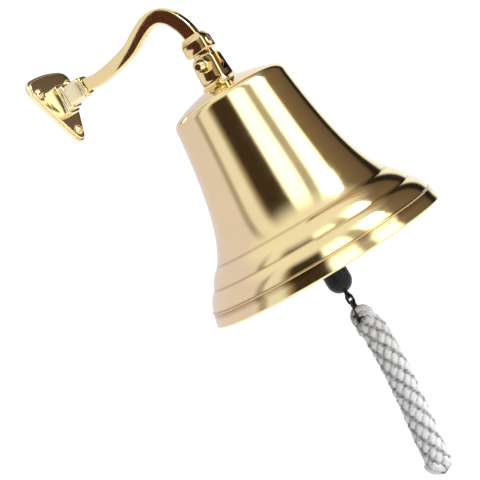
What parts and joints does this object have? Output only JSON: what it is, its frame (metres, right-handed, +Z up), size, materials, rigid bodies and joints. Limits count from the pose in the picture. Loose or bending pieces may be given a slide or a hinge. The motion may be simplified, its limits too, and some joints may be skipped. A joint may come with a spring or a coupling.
{
  "type": "ship bell",
  "caption": "Wall-hung brass ship's bell on a swan-neck bracket, with a pivoting crown, a linked black clapper and a short plaited white pull rope.",
  "frame": {"origin": "centre of the screw circle on the wall plate's back face", "axes": "+X out of the wall, +Z up; the bell's axis is vertical at X = 104 mm and the rim is 166 mm below the origin"},
  "size_m": [0.204, 0.15, 0.3292],
  "materials": {
    "bell_brass": "polished",
    "bracket_brass": "polished casting",
    "fastener_brass": "polished turned",
    "black_iron": "black satin",
    "black_twine": "waxed twine",
    "white_rope": "plaited cord"
  },
  "bodies": {
    "bracket": {"wall_plate": "bracket_brass", "wall_screw_left": "fastener_brass", "wall_screw_right": "fastener_brass", "wall_screw_low": "fastener_brass", "arm_collar": "bracket_brass", "arm_washer": "fastener_brass", "arm_nut": "fastener_brass", "bracket_arm": "bracket_brass", "arm_head": "bracket_brass", "head_rivet": "bracket_brass"},
    "bell": {"bell_shell": "bell_brass", "pivot_bolt": "fastener_brass", "pivot_washer": "fastener_brass", "pivot_nut": "fastener_brass", "clapper_staple": "fastener_brass", "staple_washer": "fastener_brass", "staple_nut": "fastener_brass"},
    "clapper_link": {"clapper_link": "black_iron"},
    "clapper": {"clapper_rod": "black_iron", "clapper_lock_nut": "black_iron", "clapper_bob": "black_iron", "bob_eye": "black_iron"},
    "lanyard_ring": {"lanyard_ring": "black_iron"},
    "lanyard": {"lanyard_twine": "black_twine", "lanyard_eye": "white_rope", "lanyard_rope": "white_rope", "lanyard_knot": "white_rope"}
  },
  "joints": [
    {"name": "bell_swing", "type": "hinge", "parent": "bracket", "child": "bell", "pos_m": [0.104, 0, -0.031], "axis": [0, -1, 0], "range_deg": [-12, 20]},
    {"name": "clapper_swing", "type": "hinge", "parent": "bell", "child": "clapper_link", "pos_m": [0.104, 0, -0.0705], "axis": [0, -1, 0], "range_deg": [-31.5, 31.5]},
    {"name": "clapper_sway", "type": "hinge", "parent": "clapper_link", "child": "clapper", "pos_m": [0.104, 0, -0.0825], "axis": [1, 0, 0], "range_deg": [-6, 6]},
    {"name": "lanyard_swing", "type": "hinge", "parent": "clapper", "child": "lanyard_ring", "pos_m": [0.104, 0, -0.1904], "axis": [0, -1, 0], "range_deg": [-35, 35]},
    {"name": "lanyard_sway", "type": "hinge", "parent": "lanyard_ring", "child": "lanyard", "pos_m": [0.104, 0, -0.1946], "axis": [1, 0, 0], "range_deg": [-35, 35]}
  ]
}
